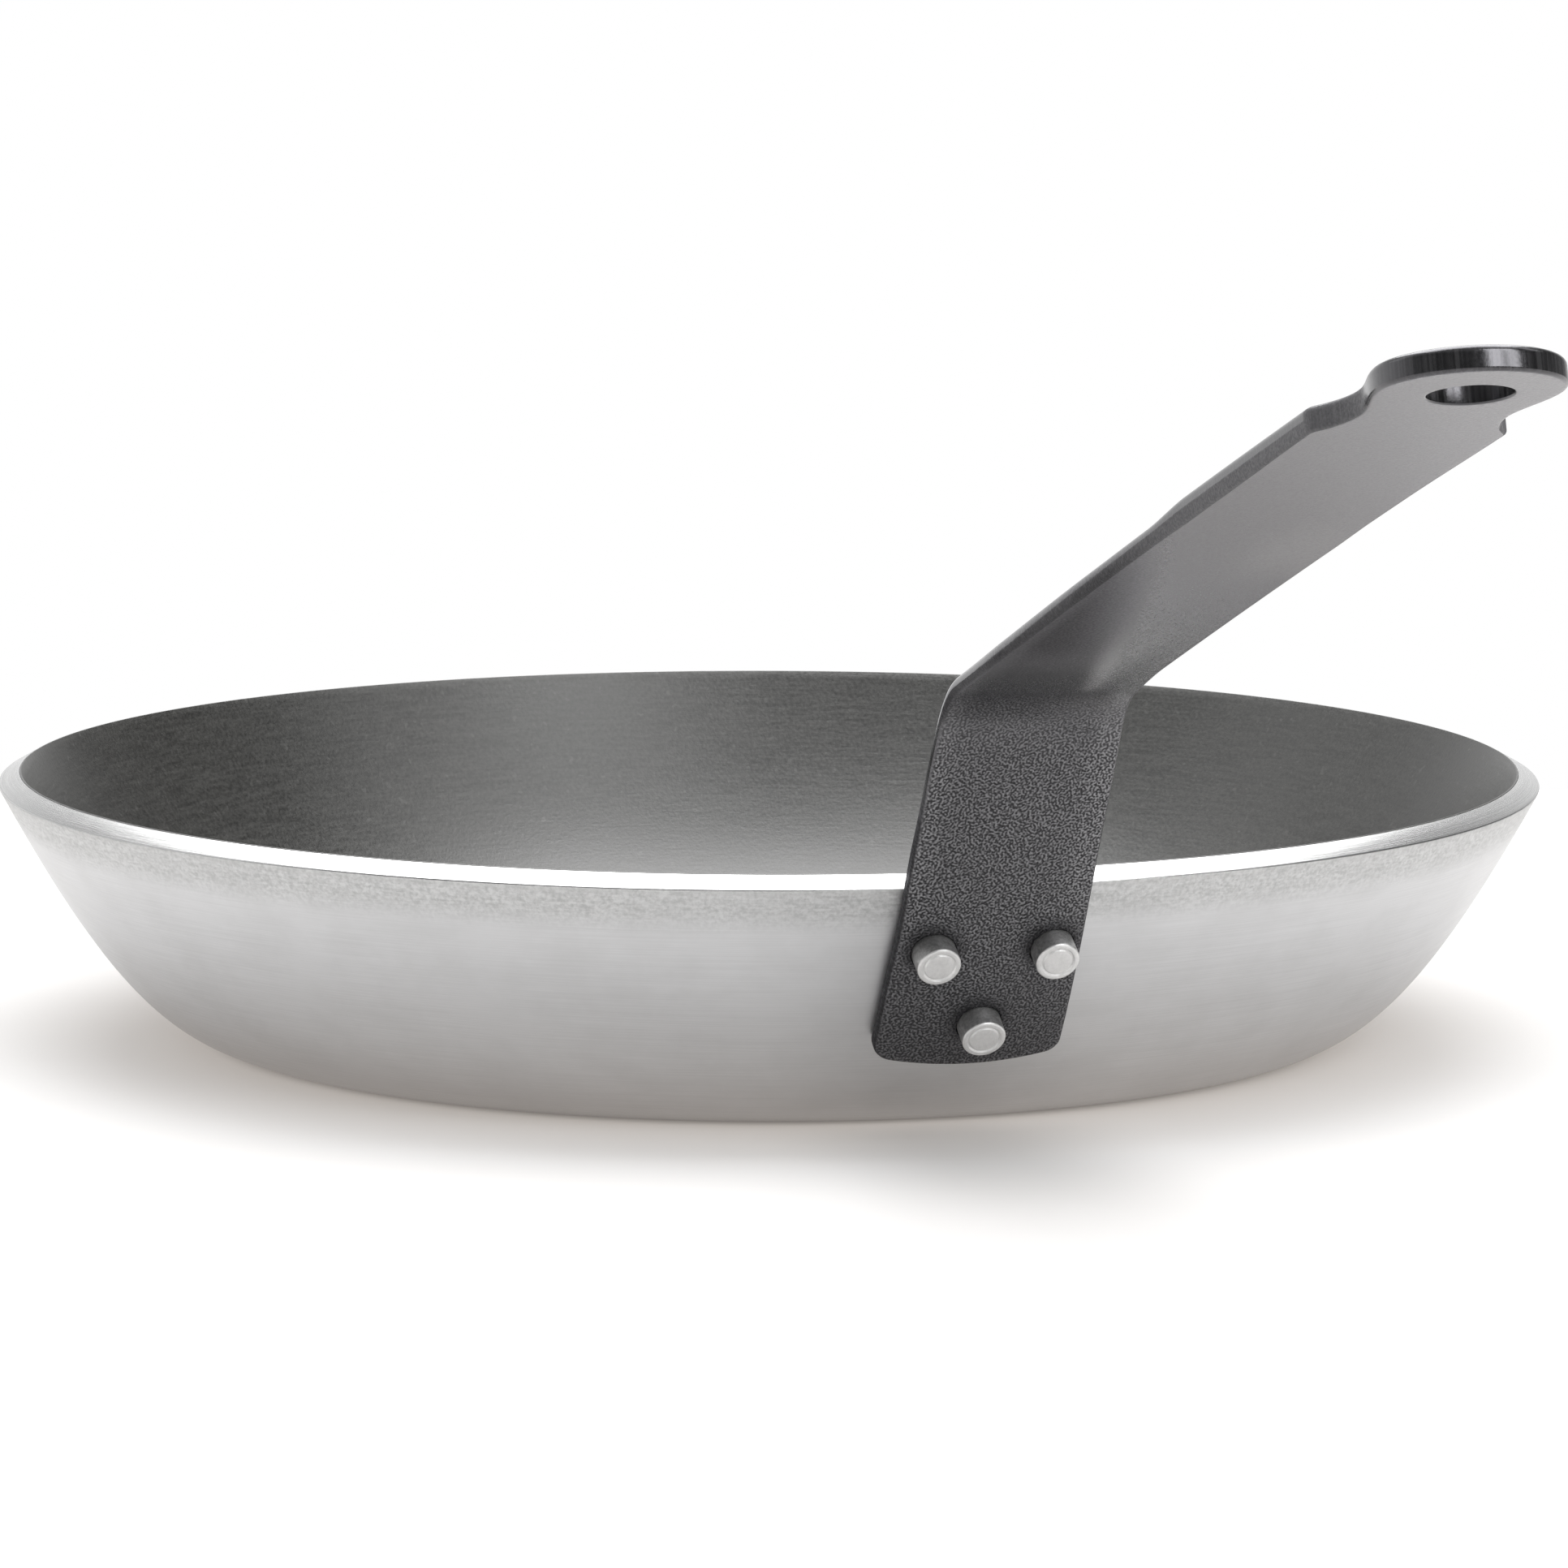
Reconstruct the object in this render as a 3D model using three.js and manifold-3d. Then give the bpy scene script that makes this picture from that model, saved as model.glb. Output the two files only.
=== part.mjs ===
// Frying pan: pressed aluminium body with a non-stick lining, bent steel strip handle, three solid rivets.
// Millimetres, +Z up. Origin: centre of the resting face. The handle leaves the pan along +X.
import * as THREE from "three";
import { mergeVertices } from "three/addons/utils/BufferGeometryUtils.js";
import Module from "manifold-3d";

// ---- pan body -----------------------------------------------------------------------------
const RIM_R = 120.0;            // outer edge of the rim (widest circle)
const RIM_EDGE_Z = 39.55;       // height of that edge
const LIP_R = 116.65;           // inner lip, highest circle
const LIP_Z = 41.4;
const WALL_LEAN = 0.492;        // wall's lean from vertical at the rim, radians
const WALL_PULL = 24.2;         // handle length of the wall curve at the rim
const BASE_R = 84.2;            // radius of the flat base
const BASE_PULL = 12.7;         // handle length of the wall curve at the base
const BASE_T = 4.0;             // aluminium thickness in the base
const LINING_T = 0.25;          // lining thickness
const LINING_GAP = 0.02;        // clearance between lining and aluminium
const AROUND = 72;              // facets around the pan
const ALONG = 13;               // facets along the wall curve

// ---- strip handle ---------------------------------------------------------------------------
const STRIP_GAP = 0.15;         // clearance between strip and wall
const STRIP_T = 2.6;            // thickness at the root and neck
const GRIP_T = 3.3;             // thickness in the grip, where the coating is heavier
const GRIP_HALF_W = 12.83;      // half width of the grip
const LEFT_EDGE = [[-20, 13.95], [-2, 13.4], [20, 13.2], [33, 12.8], [44, 12.8], [64, 13.0], [130, 13.0], [146, GRIP_HALF_W]];
const RIGHT_EDGE = [[28, 14.33], [56, 13.03], [130, 13.02], [146, GRIP_HALF_W]];   // [distance along, half width]
const SWELL_AT = 130.0;         // where the neck swells into the grip (distance along the strip from the rim)
const SWELL_LEN = 16.0;
const ROOT_EDGE_R = 0.5;        // edge rounding at the root: outer face, face against the wall
const ROOT_BACK_R = 1.1;
const GRIP_EDGE_R = 0.78;       // and in the grip
const ROOT_END = 31.67;         // the strip reaches this far below the rim, measured along the wall
const ROOT_END_R = 64.0;        // radius of the curved lower end
const ROOT_CORNER_R = [2.8, 2.0];   // its left and right corners
const NECK_LEAN = 0.4803;       // lean of the neck from vertical, radians
const NECK_LEN = 27.8;          // straight neck above the rim
const BEND_R = 15.4;            // bend radius of the under face
const GRIP_RISE = 0.338;        // grip's rise above horizontal behind the bend, radians
const GRIP_DROOP = 0.000146;    // and how much of it is lost per millimetre towards the eye
const GRIP_ROLL = 0.0346;       // the bend is a little askew: the grip's right edge hangs lower, radians
const SHOULDER_AT = 195.25;     // where the straight grip ends
const SHOULDER_R = 2.2;         // its rounded corner
const WAIST_AT = 205.5;         // narrowest place between shoulder and eye
const WAIST_HALF_W = 9.68;
const EYE_AT = 218.6;           // centre of the round eye
const EYE_R = 11.93;
const EYE_HOLE_AT = 217.05;     // hanging hole
const EYE_HOLE_R = 5.3;
const EYE_HOLE_SHIFT = 0.6;     // sideways

// ---- rivets -----------------------------------------------------------------------------------
const RIVET_R = 3.22;           // tail and shank
const RIVET_HOLE_R = 3.32;
const RIVET_TAIL = 3.4;         // how far the tail stands out of the strip
const RIVET_HEAD_R = 5.5;       // low domed head inside the pan
const RIVET_HEAD_H = 1.7;
const RIVET_SEAT = 0.45;        // head's flat underside stands this far off the lining at its centre
const RIVET_GROOVE_R = 2.5;     // ring groove in the tail's end face
const RIVET_SHIFT = 0.9;        // whole pattern sits this far to one side
const RIVETS = [
  { name: "rivet_left", along: -9.68, across: -8.86 + RIVET_SHIFT },
  { name: "rivet_right", along: -9.68, across: 8.86 + RIVET_SHIFT },
  { name: "rivet_bottom", along: -23.3, across: RIVET_SHIFT },
];

const wasm = await Module();
wasm.setup();

// ---- helpers ------------------------------------------------------------------------------------
function solid(geometry) {
  const bare = geometry.clone();
  for (const key of Object.keys(bare.attributes)) if (key !== "position") bare.deleteAttribute(key);
  const welded = mergeVertices(bare, 1e-4);
  const pos = welded.attributes.position;
  const idx = welded.index.array;
  const tris = [];
  for (let i = 0; i < idx.length; i += 3) {
    const [a, b, c] = [idx[i], idx[i + 1], idx[i + 2]];
    if (a !== b && b !== c && c !== a) tris.push(a, b, c);
  }
  const p = (i) => new THREE.Vector3().fromBufferAttribute(pos, i);
  let volume = 0;
  for (let i = 0; i < tris.length; i += 3) volume += p(tris[i]).dot(p(tris[i + 1]).cross(p(tris[i + 2]))) / 6;
  if (volume < 0) for (let i = 0; i < tris.length; i += 3) [tris[i + 1], tris[i + 2]] = [tris[i + 2], tris[i + 1]];
  return new wasm.Manifold(new wasm.Mesh({
    numProp: 3,
    vertProperties: new Float32Array(pos.array),
    triVerts: new Uint32Array(tris),
  }));
}

function geometryOf(manifold) {
  const m = manifold.getMesh();
  const g = new THREE.BufferGeometry();
  const n = m.vertProperties.length / m.numProp;
  const xyz = new Float32Array(n * 3);
  for (let i = 0; i < n; i++) for (let k = 0; k < 3; k++) xyz[i * 3 + k] = m.vertProperties[i * m.numProp + k];
  g.setAttribute("position", new THREE.BufferAttribute(xyz, 3));
  g.setIndex(new THREE.BufferAttribute(new Uint32Array(m.triVerts), 1));
  g.computeVertexNormals();
  return g;
}

function smooth(x) {
  const t = Math.min(1, Math.max(0, x));
  return t * t * (3 - 2 * t);
}

// ---- wall profile in the (radius, height) plane ---------------------------------------------------
const wall = new THREE.CubicBezierCurve(
  new THREE.Vector2(RIM_R, RIM_EDGE_Z),
  new THREE.Vector2(RIM_R - WALL_PULL * Math.sin(WALL_LEAN), RIM_EDGE_Z - WALL_PULL * Math.cos(WALL_LEAN)),
  new THREE.Vector2(BASE_R + BASE_PULL, 0),
  new THREE.Vector2(BASE_R, 0),
);

function wallAt(t) {
  const p = wall.getPoint(t);
  const d = wall.getTangent(t);                          // runs from the rim to the base
  return { p, up: d.clone().negate(), in: new THREE.Vector2(d.y, -d.x) };
}

const lipDir = new THREE.Vector2(LIP_R - RIM_R, LIP_Z - RIM_EDGE_Z);
const RIM_T = lipDir.length();                           // thickness across the rim, lining included
lipDir.normalize();

function insidePoint(t, lining) {
  const w = wallAt(t);
  const k = smooth(t / 0.9);
  const across = RIM_T - LINING_T - LINING_GAP;
  const depth = across + (BASE_T - across) * k + lining;
  const dir = lipDir.clone().multiplyScalar(1 - smooth(t / 0.25)).add(w.in.clone().multiplyScalar(smooth(t / 0.25))).normalize();
  return w.p.clone().addScaledVector(dir, depth);
}

const steps = Array.from({ length: ALONG + 1 }, (_, i) => i / ALONG);

function lathe(points) {
  const g = new THREE.LatheGeometry(points, AROUND);
  g.rotateX(Math.PI / 2);                                // lathe axis to +Z
  return solid(g);
}

const V2 = (x, y) => new THREE.Vector2(x, y);

const bodyProfile = [V2(0, 0)];
for (const t of [...steps].reverse()) bodyProfile.push(wall.getPoint(t));
for (const t of steps) bodyProfile.push(insidePoint(t, 0));
bodyProfile.push(V2(0, BASE_T));

const liningProfile = [V2(0, BASE_T + LINING_GAP)];
for (const t of [...steps].reverse()) liningProfile.push(insidePoint(t, LINING_GAP));
for (const t of steps) liningProfile.push(insidePoint(t, LINING_GAP + LINING_T));
liningProfile.push(V2(0, BASE_T + LINING_GAP + LINING_T));

// ---- the strip's path: its outer (under) face in the vertical plane y = 0 ---------------------------
// Each station gives a point, the direction along the strip and the normal towards the strip's other face.
const stand = STRIP_GAP + STRIP_T;
const rootLine = [];                                      // from the rim downwards
{
  let length = 0;
  let last = null;
  for (let i = 0; i <= 600; i++) {
    const t = (i / 600) * 0.95;
    const w = wallAt(t);
    const p = w.p.clone().addScaledVector(w.in, -stand);
    if (last) length += p.distanceTo(last);
    last = p;
    rootLine.push({ s: -length, p, angle: Math.atan2(w.up.y, w.up.x) });
  }
}
const RIM_ANGLE = rootLine[0].angle;
const NECK_ANGLE = Math.PI / 2 - NECK_LEAN;
const BEND_LEN = (NECK_ANGLE - GRIP_RISE) * BEND_R;

function angleAbove(s) {
  if (s < NECK_LEN) return RIM_ANGLE + (NECK_ANGLE - RIM_ANGLE) * smooth(s / 6);
  if (s < NECK_LEN + BEND_LEN) return NECK_ANGLE - (s - NECK_LEN) / BEND_R;
  return GRIP_RISE - GRIP_DROOP * (s - NECK_LEN - BEND_LEN);
}

const aboveLine = [{ s: 0, p: rootLine[0].p.clone(), angle: RIM_ANGLE }];
for (let i = 1; i <= 2400; i++) {
  const ds = 0.1;
  const s = i * ds;
  const a = angleAbove(s - ds / 2);
  const q = aboveLine[i - 1].p;
  aboveLine.push({ s, p: V2(q.x + Math.cos(a) * ds, q.y + Math.sin(a) * ds), angle: angleAbove(s) });
}

function pathAt(s) {
  if (s < 0) {
    let i = 1;
    while (i < rootLine.length - 1 && rootLine[i].s > s) i++;
    const [a, b] = [rootLine[i - 1], rootLine[i]];
    const k = (s - a.s) / (b.s - a.s);
    return { p: a.p.clone().lerp(b.p, k), angle: a.angle + (b.angle - a.angle) * k };
  }
  const i = Math.min(aboveLine.length - 2, Math.floor(s / 0.1));
  const [a, b] = [aboveLine[i], aboveLine[i + 1]];
  const k = (s - a.s) / (b.s - a.s);
  return { p: a.p.clone().lerp(b.p, k), angle: a.angle + (b.angle - a.angle) * k };
}

// The root is pressed to the pan's round wall; the hollow fades out before the bend.
function hollow(s) {
  const w = pathAt(s);
  const curvature = Math.sin(w.angle) / w.p.x;
  return curvature * (1 - smooth((s - 4) / 24));
}

function stripPoint(s, across, depth) {
  const w = pathAt(s);
  const roll = GRIP_ROLL * smooth((s - NECK_LEN) / BEND_LEN);
  const n = depth + 0.5 * hollow(s) * across * across - roll * across;
  return new THREE.Vector3(w.p.x - Math.sin(w.angle) * n, across, w.p.y + Math.cos(w.angle) * n);
}

// Half width on one side: -1 left, +1 right.
function straightWidth(s, side) {
  const edge = side < 0 ? LEFT_EDGE : RIGHT_EDGE;
  for (let i = 1; i < edge.length; i++) {
    const [[s0, w0], [s1, w1]] = [edge[i - 1], edge[i]];
    if (s < s1) return w0 + (w1 - w0) * smooth((s - s0) / (s1 - s0));
  }
  return GRIP_HALF_W;
}

function halfWidth(s, side) {
  const corner = ROOT_CORNER_R[side < 0 ? 0 : 1];
  if (s <= -ROOT_END + corner) {
    const d = corner - (s + ROOT_END);
    return straightWidth(s, side) - corner + Math.sqrt(Math.max(0, corner ** 2 - d * d));
  }
  if (s < SHOULDER_AT) return straightWidth(s, side);
  if (s < WAIST_AT) {
    // rounded corner, then a hollow that meets the waist; both arcs turn by the same angle
    const [run, drop] = [WAIST_AT - SHOULDER_AT, GRIP_HALF_W - WAIST_HALF_W];
    const turn = 2 * Math.atan2(drop, run);
    const hollowR = run / Math.sin(turn) - SHOULDER_R;
    const d = s - SHOULDER_AT;
    if (d < SHOULDER_R * Math.sin(turn)) return GRIP_HALF_W - SHOULDER_R + Math.sqrt(SHOULDER_R ** 2 - d * d);
    return WAIST_HALF_W + hollowR - Math.sqrt(hollowR ** 2 - (WAIST_AT - s) ** 2);
  }
  if (s < EYE_AT) {
    const k = (s - WAIST_AT) / (EYE_AT - WAIST_AT);
    return WAIST_HALF_W + (EYE_R - WAIST_HALF_W) * smooth(k);
  }
  return Math.sqrt(Math.max(0, EYE_R ** 2 - (s - EYE_AT) ** 2));
}

function thickness(s) {
  return STRIP_T + (GRIP_T - STRIP_T) * smooth((s - SWELL_AT) / SWELL_LEN);
}

function edgeRadius(s, start) {
  return start + (GRIP_EDGE_R - start) * smooth((s - SWELL_AT + 30) / (SWELL_LEN + 30));
}

// Cross section as a ring: under face, one edge, upper face, the other edge.
const FACE_STEPS = 6;
const CORNER_STEPS = 2;
function ring(s) {
  const t = thickness(s);
  const [left, right] = [halfWidth(s, -1), halfWidth(s, 1)];
  const r = Math.min(edgeRadius(s, ROOT_EDGE_R), left * 0.8, right * 0.8, t * 0.49);
  const q = Math.min(edgeRadius(s, ROOT_BACK_R), left * 0.8, right * 0.8, t * 0.49);
  const out = [];
  const corner = (i) => (i / CORNER_STEPS) * (Math.PI / 2);
  for (let i = 0; i < FACE_STEPS; i++) out.push([-(left - r) + ((left + right - 2 * r) * i) / FACE_STEPS, 0]);
  for (let i = 0; i <= CORNER_STEPS; i++) out.push([right - r + r * Math.sin(corner(i)), r - r * Math.cos(corner(i))]);
  for (let i = 0; i < CORNER_STEPS; i++) out.push([right - q + q * Math.cos(corner(i)), t - q + q * Math.sin(corner(i))]);
  for (let i = 0; i < FACE_STEPS; i++) out.push([right - q - ((left + right - 2 * q) * i) / FACE_STEPS, t]);
  for (let i = 0; i <= CORNER_STEPS; i++) out.push([-(left - q) - q * Math.sin(corner(i)), t - q + q * Math.cos(corner(i))]);
  for (let i = 0; i < CORNER_STEPS; i++) out.push([-(left - r) - r * Math.cos(corner(i)), r - r * Math.sin(corner(i))]);
  return out;
}

const stations = [];
for (const d of [0.05, 0.3, 0.7, 1.3, 2, 2.8, 5.5, 8.5, 12, 16, 20, 24, 27.5]) stations.push(-ROOT_END + d);
for (const s of [-2, 0, 2, 5, 10, 16, 22, NECK_LEN]) stations.push(s);
for (let i = 1; i <= 8; i++) stations.push(NECK_LEN + (BEND_LEN * i) / 8);
for (const s of [56, 76, 100, 130, 134, 138, 142, 146, 170]) stations.push(s);
for (const d of [0, 0.5, 0.95, 1.39, 2.2, 3.2, 4.5, 6, 7.4]) stations.push(SHOULDER_AT + d);
stations.push(WAIST_AT);
for (const k of [0.25, 0.5, 0.75]) stations.push(WAIST_AT + (EYE_AT - WAIST_AT) * k);
for (const a of [0, 10, 20, 30, 40, 50, 59, 67, 74, 80, 84]) stations.push(EYE_AT + EYE_R * Math.sin((a * Math.PI) / 180));

// The lower end is cut to a shallow curve: the edges end higher than the middle.
function endCurve(s, across) {
  return (across * across) / (2 * ROOT_END_R) * (1 - smooth((s + ROOT_END) / 16));
}

function stripSolid() {
  const rings = stations.map(ring);
  const count = rings[0].length;
  const rows = stations.length - 1;
  const g = new THREE.CylinderGeometry(1, 1, 1, count, rows, false);
  const pos = g.attributes.position;
  for (let i = 0; i < pos.count; i++) {
    const [x, y, z] = [pos.getX(i), pos.getY(i), pos.getZ(i)];
    const row = Math.round((0.5 - y) * rows);
    const s = stations[row];
    let across = 0;
    let depth = thickness(s) / 2;
    if (x * x + z * z > 0.25) {
      let a = Math.atan2(x, z) / (2 * Math.PI);
      if (a < 0) a += 1;
      [across, depth] = rings[row][Math.round(a * count) % count];
    }
    const p = stripPoint(s + endCurve(s, across), across, depth);
    pos.setXYZ(i, p.x, p.y, p.z);
  }
  return solid(g);
}

// ---- placing a part along a normal of the strip -------------------------------------------------------
function frameAt(s, across) {
  const w = pathAt(s);
  const out = new THREE.Vector3(Math.sin(w.angle), 0, -Math.cos(w.angle));   // away from the strip's outer face
  const along = new THREE.Vector3(Math.cos(w.angle), 0, Math.sin(w.angle));
  const side = new THREE.Vector3().crossVectors(out, along);
  const m = new THREE.Matrix4().makeBasis(side, out, along);                 // local +Y points out
  m.setPosition(stripPoint(s, across, 0));
  return m;
}

function drill(s, across, radius, facets) {
  const g = new THREE.CylinderGeometry(radius, radius, 40, facets);
  g.applyMatrix4(frameAt(s, across));
  return solid(g);
}

// ---- build --------------------------------------------------------------------------------------------
let body = lathe(bodyProfile);
let lining = lathe(liningProfile);
let strip = stripSolid();
const rivetSolids = {};

for (const r of RIVETS) {
  const hole = drill(r.along, r.across, RIVET_HOLE_R, 24);
  body = body.subtract(hole);
  lining = lining.subtract(hole);
  strip = strip.subtract(hole);

  // depth from the strip's outer face to the lining's inner surface, along the rivet's axis
  const seat = STRIP_T + STRIP_GAP + BASE_T + LINING_GAP + LINING_T + RIVET_SEAT;
  const dome = [];
  for (let i = 0; i <= 5; i++) {
    const a = (i / 5) * (Math.PI / 2);
    dome.push(V2(RIVET_HEAD_R * Math.sin(a), -seat - 0.35 - (RIVET_HEAD_H - 0.35) * Math.cos(a)));
  }
  dome[0].x = 0;
  const profile = [
    ...dome,
    V2(RIVET_HEAD_R, -seat),
    V2(RIVET_R, -seat),
    V2(RIVET_R, RIVET_TAIL - 0.25),
    V2(RIVET_R - 0.25, RIVET_TAIL),
    V2(RIVET_GROOVE_R + 0.16, RIVET_TAIL),
    V2(RIVET_GROOVE_R, RIVET_TAIL - 0.22),
    V2(RIVET_GROOVE_R - 0.16, RIVET_TAIL),
    V2(0, RIVET_TAIL + 0.08),
  ];
  const g = new THREE.LatheGeometry(profile, 24);
  g.applyMatrix4(frameAt(r.along, r.across));
  rivetSolids[r.name] = solid(g);
}
strip = strip.subtract(drill(EYE_HOLE_AT, EYE_HOLE_SHIFT, EYE_HOLE_R, 32));

const part = new THREE.Group();
part.name = "frying_pan";

function add(name, manifold, color, roughness, metalness) {
  const mesh = new THREE.Mesh(geometryOf(manifold), new THREE.MeshStandardMaterial({ color, roughness, metalness }));
  mesh.name = name;
  part.add(mesh);
}

add("pan_body", body, new THREE.Color(0.74, 0.74, 0.735), 0.38, 1.0);
add("nonstick_lining", lining, new THREE.Color(0.1, 0.1, 0.098), 0.6, 0.0);
add("handle_strip", strip, new THREE.Color(0.075, 0.077, 0.08), 0.45, 0.1);
for (const r of RIVETS) add(r.name, rivetSolids[r.name], new THREE.Color(0.72, 0.72, 0.715), 0.42, 1.0);

export default part;
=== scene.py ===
"""Frying pan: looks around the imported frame. Metres, same frame as the solids: +Z up, handle along +X."""
import math

import bmesh
import bpy
import numpy as np
from mathutils import Matrix, Vector
from mathutils.geometry import delaunay_2d_cdt


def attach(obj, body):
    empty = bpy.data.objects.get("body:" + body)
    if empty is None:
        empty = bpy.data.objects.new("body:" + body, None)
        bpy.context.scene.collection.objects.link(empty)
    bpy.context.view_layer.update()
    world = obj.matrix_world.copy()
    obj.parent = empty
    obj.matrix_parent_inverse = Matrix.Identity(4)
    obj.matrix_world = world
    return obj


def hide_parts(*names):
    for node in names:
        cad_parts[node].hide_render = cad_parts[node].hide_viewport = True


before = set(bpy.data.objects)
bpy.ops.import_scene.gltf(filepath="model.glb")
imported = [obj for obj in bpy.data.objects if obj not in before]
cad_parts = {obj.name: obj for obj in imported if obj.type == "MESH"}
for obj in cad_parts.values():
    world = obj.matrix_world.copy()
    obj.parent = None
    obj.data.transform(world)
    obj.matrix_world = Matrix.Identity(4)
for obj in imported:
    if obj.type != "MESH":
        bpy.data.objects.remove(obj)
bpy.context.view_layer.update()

MM = 0.001

# ---- dimensions of the solids, millimetres ---------------------------------------------------
RIM_R, RIM_EDGE_Z = 120.0, 39.55
LIP_R, LIP_Z = 116.65, 41.4
WALL_LEAN, WALL_PULL = 0.492, 24.2
BASE_R, BASE_PULL, BASE_T = 84.2, 12.7, 4.0
LINING_T, LINING_GAP = 0.25, 0.02

STRIP_GAP, STRIP_T, GRIP_T = 0.15, 2.6, 3.3
GRIP_HALF_W = 12.83
LEFT_EDGE = [(-20, 13.95), (-2, 13.4), (20, 13.2), (33, 12.8), (44, 12.8), (64, 13.0), (130, 13.0), (146, GRIP_HALF_W)]
RIGHT_EDGE = [(28, 14.33), (56, 13.03), (130, 13.02), (146, GRIP_HALF_W)]
SWELL_AT, SWELL_LEN = 130.0, 16.0
ROOT_EDGE_R, ROOT_BACK_R, GRIP_EDGE_R, GRIP_BACK_R = 0.5, 1.1, 0.55, 0.85
SHEAR_IN, SHEAR_AT, NECK_BACK_R = 0.3, 0.46, 0.4
ROOT_END, ROOT_END_R, ROOT_CORNER_R = 31.67, 64.0, (2.8, 2.0)
NECK_LEAN, NECK_LEN, BEND_R = 0.4803, 27.8, 15.4
GRIP_RISE, GRIP_DROOP, GRIP_ROLL = 0.338, 0.000146, 0.0346
SHOULDER_AT, SHOULDER_R = 195.25, 2.9
WAIST_AT, WAIST_HALF_W = 205.5, 9.68
EYE_AT, EYE_R = 218.6, 11.8
EYE_HOLE_AT, EYE_HOLE_R, EYE_HOLE_SHIFT = 217.05, 5.3, 0.6

RIVET_R, RIVET_HOLE_R, RIVET_TAIL = 3.22, 3.32, 3.4
RIVET_HEAD_R, RIVET_HEAD_H, RIVET_SEAT, RIVET_GROOVE_R = 5.5, 1.7, 0.45, 2.25
RIVET_SHIFT = 0.9
RIVETS = [("rivet_left", -9.68, -8.86 + RIVET_SHIFT), ("rivet_right", -9.68, 8.86 + RIVET_SHIFT), ("rivet_bottom", -23.3, RIVET_SHIFT)]


def smooth(x):
    t = np.clip(x, 0.0, 1.0)
    return t * t * (3 - 2 * t)


# ---- pan wall ----------------------------------------------------------------------------------
W0 = np.array([RIM_R, RIM_EDGE_Z])
W1 = W0 - WALL_PULL * np.array([math.sin(WALL_LEAN), math.cos(WALL_LEAN)])
W2 = np.array([BASE_R + BASE_PULL, 0.0])
W3 = np.array([BASE_R, 0.0])


def wall_at(t):
    """Points of the outer wall from the rim (0) to the base (1), unit tangents towards the base, unit normals inwards."""
    t = np.asarray(t, float)[:, None]
    p = (1 - t) ** 3 * W0 + 3 * (1 - t) ** 2 * t * W1 + 3 * (1 - t) * t ** 2 * W2 + t ** 3 * W3
    d = 3 * (1 - t) ** 2 * (W1 - W0) + 6 * (1 - t) * t * (W2 - W1) + 3 * t ** 2 * (W3 - W2)
    d /= np.linalg.norm(d, axis=1)[:, None]
    return p, d, np.stack([d[:, 1], -d[:, 0]], -1)


LIP_DIR = np.array([LIP_R - RIM_R, LIP_Z - RIM_EDGE_Z])
RIM_T = float(np.linalg.norm(LIP_DIR))
LIP_DIR = LIP_DIR / RIM_T


def inside_at(t, lining):
    t = np.asarray(t, float)
    p, _, n = wall_at(t)
    across = RIM_T - 0.06
    depth = across + (BASE_T - across) * smooth(t / 0.9) + lining
    k = smooth(t / 0.25)[:, None]
    d = LIP_DIR * (1 - k) + n * k
    d /= np.linalg.norm(d, axis=1)[:, None]
    return p + d * depth[:, None]


# ---- strip path ----------------------------------------------------------------------------------
_t = np.linspace(0, 0.95, 601)
_p, _d, _n = wall_at(_t)
_root = _p - _n * (STRIP_GAP + STRIP_T)
ROOT_S = -np.concatenate([[0], np.cumsum(np.linalg.norm(np.diff(_root, axis=0), axis=1))])
ROOT_A = np.arctan2(-_d[:, 1], -_d[:, 0])
RIM_ANGLE = ROOT_A[0]
NECK_ANGLE = math.pi / 2 - NECK_LEAN
BEND_LEN = (NECK_ANGLE - GRIP_RISE) * BEND_R


def angle_above(s):
    return np.where(s < NECK_LEN, RIM_ANGLE + (NECK_ANGLE - RIM_ANGLE) * smooth(s / 6),
                    np.where(s < NECK_LEN + BEND_LEN, NECK_ANGLE - (s - NECK_LEN) / BEND_R, GRIP_RISE - GRIP_DROOP * (s - NECK_LEN - BEND_LEN)))


_S = np.arange(2401) * 0.1
_A = angle_above(_S)
_M = angle_above(_S[1:] - 0.05)
_R = _root[0, 0] + np.concatenate([[0], np.cumsum(np.cos(_M) * 0.1)])
_Z = _root[0, 1] + np.concatenate([[0], np.cumsum(np.sin(_M) * 0.1)])
PATH_S = np.concatenate([ROOT_S[:0:-1], _S])
PATH_R = np.concatenate([_root[:0:-1, 0], _R])
PATH_Z = np.concatenate([_root[:0:-1, 1], _Z])
PATH_A = np.concatenate([ROOT_A[:0:-1], _A])


def path_at(s):
    return np.interp(s, PATH_S, PATH_R), np.interp(s, PATH_S, PATH_Z), np.interp(s, PATH_S, PATH_A)


def strip_point(s, v, depth):
    s, v, depth = np.broadcast_arrays(np.asarray(s, float), np.asarray(v, float), np.asarray(depth, float))
    r, z, a = path_at(s)
    hollow = np.sin(a) / r * (1 - smooth((s - 4) / 24))
    n = depth + 0.5 * hollow * v * v - GRIP_ROLL * smooth((s - NECK_LEN) / BEND_LEN) * v
    return np.stack([r - np.sin(a) * n, v, z + np.cos(a) * n], -1)


def straight_width(s, side):
    edge = LEFT_EDGE if side < 0 else RIGHT_EDGE
    out = np.full_like(s, edge[0][1])
    for (s0, w0), (s1, w1) in zip(edge, edge[1:]):
        out = np.where(s >= s0, w0 + (w1 - w0) * smooth((s - s0) / (s1 - s0)), out)
    return out


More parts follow.
